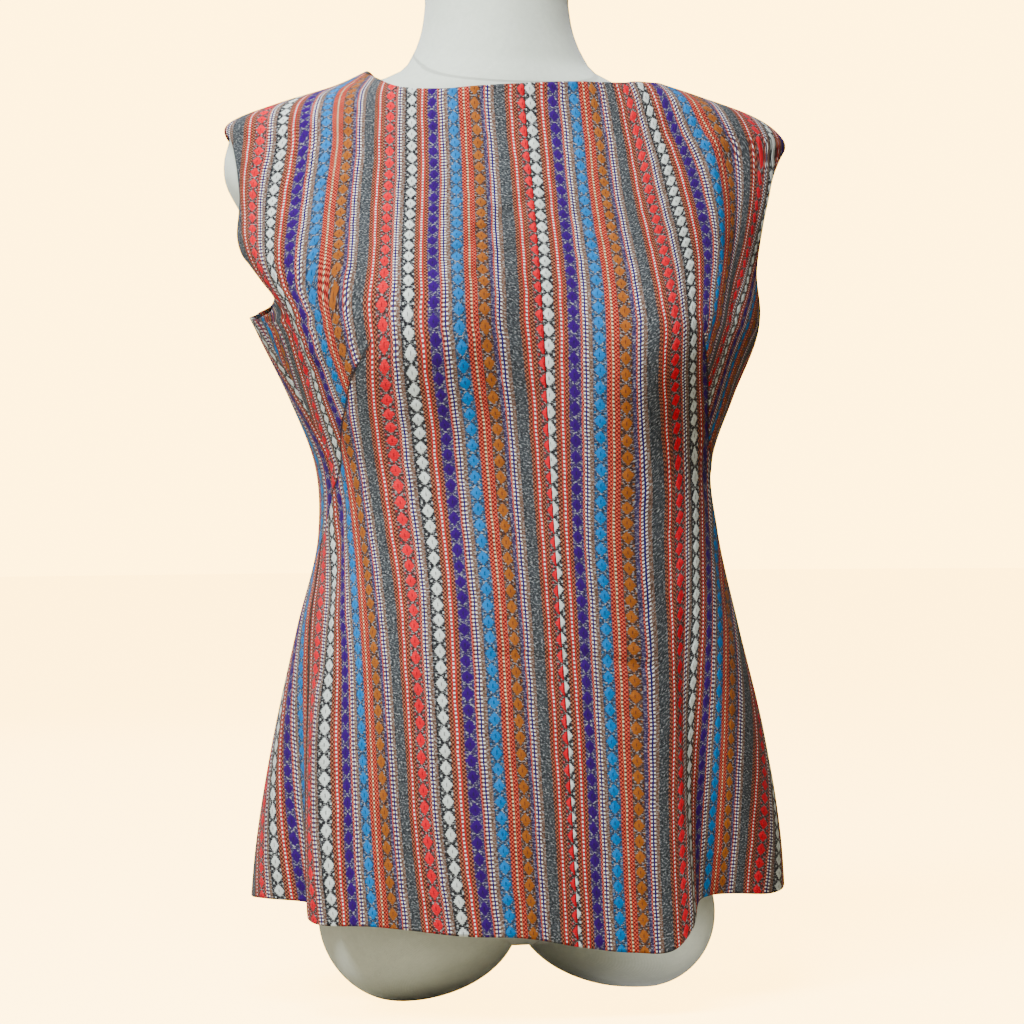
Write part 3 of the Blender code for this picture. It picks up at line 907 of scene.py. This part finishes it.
# Rows of raised diamonds: centre in millimetres, start of its stretch, colour, shift along
# the stripe in repeats, strength
DIAMONDS = [
    (0.0, 0.0, (242, 0, 38), 0.0, 1.0),
    (19.0, 9.5, (232, 240, 232), 0.5, 1.0),
    (36.7, 28.0, (56, 4, 110), 0.0, 1.0),
    (54.4, 45.5, (0, 122, 200), 0.5, 1.0),
    (72.9, 63.5, (168, 94, 34), 0.5, 1.0),
    (92.9, 83.0, (84, 90, 94), 0.0, 0.3),
    (111.4, 101.8, (242, 0, 38), 0.0, 1.0),
]
DIAMOND_PITCH = 11.9
DIAMOND_HALF = (4.1, 5.3)
YARN_PITCH = DIAMOND_PITCH / 4
TWILL_PITCH = 2.9
CORNER_ASIDE = 3.6


def weave_group():
    """Fine plain weave: a height and a shade that vary with the yarns."""
    tree, entry, leave = new_group(
        "yarn_weave", ("Across", "Along", "Yarn Width"),
        (("Height", 'NodeSocketFloat'), ("Shade", 'NodeSocketFloat')))
    across = tree.math('DIVIDE', entry["Across"], entry["Yarn Width"])
    along = tree.math('DIVIDE', entry["Along"], entry["Yarn Width"])
    weft = tree.wave(across, 2.0)
    warp = tree.wave(along, 2.0)
    height = tree.blend(tree.times(weft, warp), 0.5, 0.5)
    place = tree.place(across, along)
    fuzz = tree.noise(place, 0.45, 3.0, 0.6)
    slub = tree.noise(place, 0.06, 2.0)
    tree.put(tree.blend(fuzz, 0.5, tree.times(height, 0.5)), leave["Height"])
    tree.put(tree.blend(fuzz, 0.5, tree.times(slub, 0.5)), leave["Shade"])
    return tree.tree


def stripe_group():
    """Colour and height of the striped cloth at a place on it in millimetres."""
    tree, entry, leave = new_group(
        "woven_stripes", ("Across", "Along"),
        (("Colour", 'NodeSocketColor'), ("Height", 'NodeSocketFloat')))
    place = tree.place(entry["Across"], entry["Along"])
    waver = tree.minus(tree.noise(place, 0.05, 2.0), 0.5)
    wander = tree.minus(tree.noise(place, 0.9, 1.0), 0.5)
    across = tree.blend(waver, 1.6, tree.blend(wander, 0.5, entry["Across"]))
    along = tree.blend(waver, 2.5, entry["Along"])
    repeat = tree.math('FRACT', tree.math('DIVIDE', across, REPEAT))
    late = tree.math('GREATER_THAN', repeat, 0.5)
    within = tree.math('FRACT', tree.times(repeat, 2.0))
    halves = ([], [])
    previous = STRIPES[-1]
    for start, colour, surface in STRIPES:
        if start * 2 >= REPEAT and not halves[1]:
            halves[1].append((0.0, screen(*previous[1], previous[2])))
        half = 1 if start * 2 >= REPEAT else 0
        halves[half].append((2 * start / REPEAT - half, screen(*colour, surface)))
        previous = (start, colour, surface)
    first, first_surface = tree.ramp(within, halves[0])
    second, second_surface = tree.ramp(within, halves[1])
    ground = tree.mix(late, first, second)
    surface = tree.blend(late, tree.minus(second_surface, first_surface), first_surface)

    heathered = tree.math('COMPARE', surface, 0.25, 0.12)
    wool = tree.noise(tree.place(tree.times(across, 0.7), along), 0.75, 2.0, 0.65)
    pale = tree.minus(1.0, tree.fade(wool, 0.5, 0.68))
    deep = tree.fade(wool, 0.34, 0.48)
    dash = tree.wave(along, YARN_PITCH)
    dotted = tree.math('COMPARE', surface, 0.5, 0.12)
    twill = tree.times(tree.wave(across, TWILL_PITCH), dash)
    speckled = tree.math('GREATER_THAN', surface, 0.75)
    for mask, where, strength, colour in (
            (heathered, pale, 0.55, PALE_HAIRS),
            (heathered, deep, 0.75, DARK_HAIRS),
            (dotted, tree.fade(dash, 0.0, 0.4), 0.95, BETWEEN_DOTS),
            (speckled, tree.minus(1.0, tree.fade(twill, 0.1, 0.4)), 0.4, TWILL_LIGHT),
            (speckled, tree.fade(twill, -0.3, 0.0), 0.9, TWILL_DARK)):
        ground = tree.mix(tree.times(tree.times(mask, where), strength), ground, screen(*colour))

    stretch, _ = tree.ramp(repeat, [
        (start / REPEAT, (centre / REPEAT, shift, strength, 1))
        for centre, start, _, shift, strength in DIAMONDS])
    float_colour, _ = tree.ramp(repeat, [
        (start / REPEAT, screen(*colour)) for _, start, colour, _, _ in DIAMONDS])
    parts = tree.add('ShaderNodeSeparateColor')
    tree.put(stretch, parts.inputs[0])
    centre, shift, strength = parts.outputs
    aside = tree.size(tree.times(tree.minus(repeat, centre), REPEAT))
    step = tree.math('FRACT', tree.math('ADD', tree.math('DIVIDE', along, DIAMOND_PITCH), shift))
    up = tree.times(tree.size(tree.minus(step, 0.5)), DIAMOND_PITCH)
    rim = tree.math('ADD', *[
        tree.math('POWER', tree.math('DIVIDE', value, half), 1.12)
        for value, half in ((aside, DIAMOND_HALF[0]), (up, DIAMOND_HALF[1]))])
    rim = tree.blend(tree.minus(wool, 0.5), 0.5, rim)
    rim = tree.blend(tree.wave(entry["Along"], 1.6), 0.07, rim)
    diamond = tree.times(tree.fade(rim, 0.88, 1.08), strength)
    slit = tree.times(tree.fade(aside, 0.15, 0.6), tree.fade(up, 0.8, 1.9))
    beyond = tree.minus(DIAMOND_PITCH / 2, up)
    cross = tree.fade(tree.size(tree.minus(aside, tree.times(beyond, 1.1))), 0.25, 0.75)
    cross = tree.times(tree.times(cross, tree.fade(beyond, 2.6, 3.4)), strength)
    corner = tree.times(tree.fade(tree.size(tree.minus(aside, CORNER_ASIDE)), 0.35, 0.8),
                        tree.fade(beyond, 0.4, 1.0))
    corner = tree.times(corner, strength)
    colour = tree.mix(tree.times(tree.times(cross, pale), 0.7), ground, screen(*CROSSING))
    colour = tree.mix(tree.times(corner, 0.6), colour, float_colour)
    ribs = tree.blend(tree.wave(entry["Across"], 1.3), 0.12, 0.9)
    shaded = tree.mix(1.0, float_colour, (0.5, 0.5, 0.5, 1), 'MULTIPLY')
    strands = tree.noise(tree.place(tree.times(across, 1.6), tree.times(along, 0.5)), 1.3, 2.0, 0.6)
    strands = tree.blend(strands, 1.4, -0.1, clamp=True)
    float_shade = tree.mix(tree.times(ribs, strands), shaded, float_colour)
    colour = tree.mix(diamond, colour, float_shade)
    colour = tree.mix(tree.times(tree.times(slit, strength), 0.7), colour, screen(*CHARCOAL))
    tree.put(colour, leave["Colour"])
    dome = tree.times(tree.fade(rim, 0.1, 1.1), strength)
    raised = tree.minus(tree.times(dome, 1.1), tree.times(slit, 0.5))
    tree.put(tree.blend(cross, 0.25, raised), leave["Height"])
    return tree.tree


def new_material(name, roughness, sheen):
    material = bpy.data.materials.new(name)
    material.use_nodes = True
    shader = material.node_tree.nodes["Principled BSDF"]
    shader.inputs["Roughness"].default_value = roughness
    shader.inputs["Sheen Weight"].default_value = sheen
    shader.inputs["Sheen Roughness"].default_value = 0.5
    shader.inputs["Specular IOR Level"].default_value = 0.06
    return material, Tree(material.node_tree), shader


def striped_cloth(stripes, weave):
    """Woven wool stripes; outside a dart's line the stripes follow their own slant, and painted
    shade darkens the line itself.
    """
    material, tree, shader = new_material("striped_cloth", 0.95, 0.03)
    line = tree.add('ShaderNodeAttribute', attribute_name="dart")
    outside = tree.math('GREATER_THAN', line.outputs["Fac"], 0.0)
    inner, outer = [tree.parts(tree.add('ShaderNodeUVMap', uv_map=layer).outputs[0])
                    for layer in ("cloth", "cloth_side")]
    across, along = [
        tree.times(tree.blend(outside, tree.minus(outer[k], inner[k]), inner[k]), 1000)
        for k in (0, 1)]
    pattern = tree.group(stripes, across, along)
    yarn = tree.group(weave, across, along)
    yarn.inputs["Yarn Width"].default_value = 0.8
    # Painted shade: the colour turns near black along each front dart's line, standing in for the
    # shadow in the dart's groove
    dart_groove_shade = tree.fade(tree.size(line.outputs["Fac"]), 0.3, 1.2)
    dull = tree.mix(1.0, pattern.outputs["Colour"], (0.45, 0.43, 0.42, 1), 'MULTIPLY')
    shade = tree.blend(yarn.outputs["Shade"], 1.6, -0.3, clamp=True)
    colour = tree.mix(shade, dull, pattern.outputs["Colour"])
    colour = tree.mix(tree.times(dart_groove_shade, 0.85), colour, (0.02, 0.015, 0.015, 1))
    tree.put(colour, shader.inputs["Base Color"])
    height = tree.blend(yarn.outputs["Height"], 0.5, pattern.outputs["Height"])
    tree.relief(shader, height, 0.7, 0.0007)
    return material


def form_jersey(weave):
    """Pale greyish-green linen with stitched seams round the neck and over the shoulders."""
    material, tree, shader = new_material("form_linen", 0.85, 0.3)
    place = tree.add('ShaderNodeTexCoord').outputs["Object"]
    x, y, z = tree.parts(place)
    round_body = tree.times(tree.math('ARCTAN2', x, y), FORM_ROUND)
    yarn = tree.group(weave, round_body, tree.times(z, 1000.0))
    yarn.inputs["Yarn Width"].default_value = 0.7
    back = tree.math('ADD', y, -(SHOULDER_LINE_Y - OUTLINE_CENTRE[1]))
    neck = tree.minus(z, tree.blend(back, *NECK_SEAM))
    neck_seam = tree.fade(tree.size(neck), 0.0004, 0.0012)
    below = tree.fade(neck, -0.0005, 0.0)
    shoulder_seam = tree.times(tree.fade(tree.size(back), 0.0003, 0.001),
                               tree.times(below, tree.math('GREATER_THAN', z, 0.6)))
    front_seam = tree.times(tree.fade(tree.size(tree.math(
        'ADD', x, OUTLINE_CENTRE[0])), 0.0003, 0.001), below)
    seams = tree.math('MAXIMUM', neck_seam, tree.math('MAXIMUM', shoulder_seam, front_seam))
    spot = tree.noise(place, 260.0, 4.0, 0.6)
    shade = tree.blend(yarn.outputs["Shade"], 0.6, tree.times(spot, 0.5), clamp=True)
    colour = tree.mix(shade, JERSEY_DARK, JERSEY_PALE)
    colour = tree.mix(tree.times(seams, 0.5), colour, (0.18, 0.18, 0.16, 1))
    tree.put(colour, shader.inputs["Base Color"])
    tree.relief(shader, tree.minus(yarn.outputs["Height"], tree.times(seams, 1.5)), 0.5, 0.0004)
    return material


def aim(item, place, target):
    """Put a light or camera at a place, looking at a target."""
    bpy.context.scene.collection.objects.link(item)
    item.location = place
    item.rotation_mode = 'QUATERNION'
    item.rotation_quaternion = (Vector(target) - Vector(place)).to_track_quat('-Z', 'Y')


def make_floor():
    """Pale round floor that glows for the camera alone."""
    mesh = bpy.data.meshes.new("floor")
    sheet = bmesh.new()
    bmesh.ops.create_circle(sheet, cap_ends=True, segments=96, radius=14.0)
    sheet.to_mesh(mesh)
    sheet.free()
    floor = bpy.data.objects.new("floor", mesh)
    floor.location = (0, 0, -0.0002)
    bpy.context.scene.collection.objects.link(floor)
    paint = bpy.data.materials.new("floor_paint")
    paint.use_nodes = True
    shader = paint.node_tree.nodes["Principled BSDF"]
    shader.inputs["Base Color"].default_value = FLOOR_PAINT
    shader.inputs["Roughness"].default_value = 1.0
    shader.inputs["Specular IOR Level"].default_value = 0.0
    tree = Tree(paint.node_tree)
    glow = tree.add('ShaderNodeEmission')
    glow.inputs["Color"].default_value = BACKDROP
    glow.inputs["Strength"].default_value = FLOOR_GLOW
    lit = tree.add('ShaderNodeAddShader')
    tree.put(shader.outputs[0], lit.inputs[0])
    tree.put(glow.outputs[0], lit.inputs[1])
    tree.seen(shader.outputs[0], lit.outputs[0],
              paint.node_tree.nodes["Material Output"].inputs[0])
    mesh.materials.append(paint)


def make_stage():
    """Floor, warm room, big soft lights on the viewer's left and a small one on a thigh."""
    make_floor()
    world = bpy.data.worlds.new("studio")
    bpy.context.scene.world = world
    world.use_nodes = True
    tree = Tree(world.node_tree)
    room = world.node_tree.nodes["Background"]
    room.inputs["Color"].default_value = ROOM
    room.inputs["Strength"].default_value = ROOM_LIGHT
    backdrop = tree.add('ShaderNodeBackground')
    backdrop.inputs["Color"].default_value = BACKDROP
    backdrop.inputs["Strength"].default_value = BACKDROP_GLOW
    tree.seen(room.outputs[0], backdrop.outputs[0],
              world.node_tree.nodes["World Output"].inputs[0])
    for name, place, target, size, power, colour in LIGHTS:
        light = bpy.data.lights.new(name, 'AREA')
        light.shape = 'DISK'
        light.size = size
        light.energy = power
        light.color = colour
        aim(bpy.data.objects.new(name, light), place, target)
    thigh = bpy.data.lights.new("thigh", 'SPOT')
    thigh.energy = 78
    thigh.spot_size = 0.075
    thigh.spot_blend = 1.0
    thigh.shadow_soft_size = 0.02
    aim(bpy.data.objects.new("thigh", thigh), (0.45, -1.5, 0.03), (0.084, -0.06, 0.018))


def make_camera():
    """Camera at the height of the waist, 16 degrees round to the wearer's right."""
    turn, distance, focal_pixels, frame_pixels = math.radians(-16), 2.0, 2660, 1024
    back = Vector((math.sin(turn), -math.cos(turn), 0))
    lens = bpy.data.cameras.new("camera")
    lens.sensor_width = 36
    lens.lens = focal_pixels / frame_pixels * lens.sensor_width
    lens.shift_x = 2 / frame_pixels
    camera = bpy.data.objects.new("camera", lens)
    bpy.context.scene.collection.objects.link(camera)
    axis = Vector((-OUTLINE_CENTRE[0], -OUTLINE_CENTRE[1], 0.355))
    camera.location = axis + back * distance
    camera.rotation_mode = 'QUATERNION'
    level = (-back).to_track_quat('-Z', 'Y')
    camera.rotation_quaternion = level @ Quaternion((0, 0, 1), math.radians(-0.5))
    bpy.context.scene.camera = camera


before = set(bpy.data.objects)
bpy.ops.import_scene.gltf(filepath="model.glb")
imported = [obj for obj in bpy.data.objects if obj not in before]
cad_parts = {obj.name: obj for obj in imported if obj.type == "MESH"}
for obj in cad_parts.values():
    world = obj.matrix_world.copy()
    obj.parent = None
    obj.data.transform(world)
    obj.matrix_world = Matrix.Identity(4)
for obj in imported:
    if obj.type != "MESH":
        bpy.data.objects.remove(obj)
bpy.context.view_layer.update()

weave = weave_group()
cloth = striped_cloth(stripe_group(), weave)
jersey = form_jersey(weave)
panels = {node: make_panel(node, cloth) for node in CUTS}
form = make_form("dress_form_shell", jersey)
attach(form, "root")
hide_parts("dress_form")
for node, panel in panels.items():
    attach(panel, "root")
    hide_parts(node)
make_stage()
make_camera()
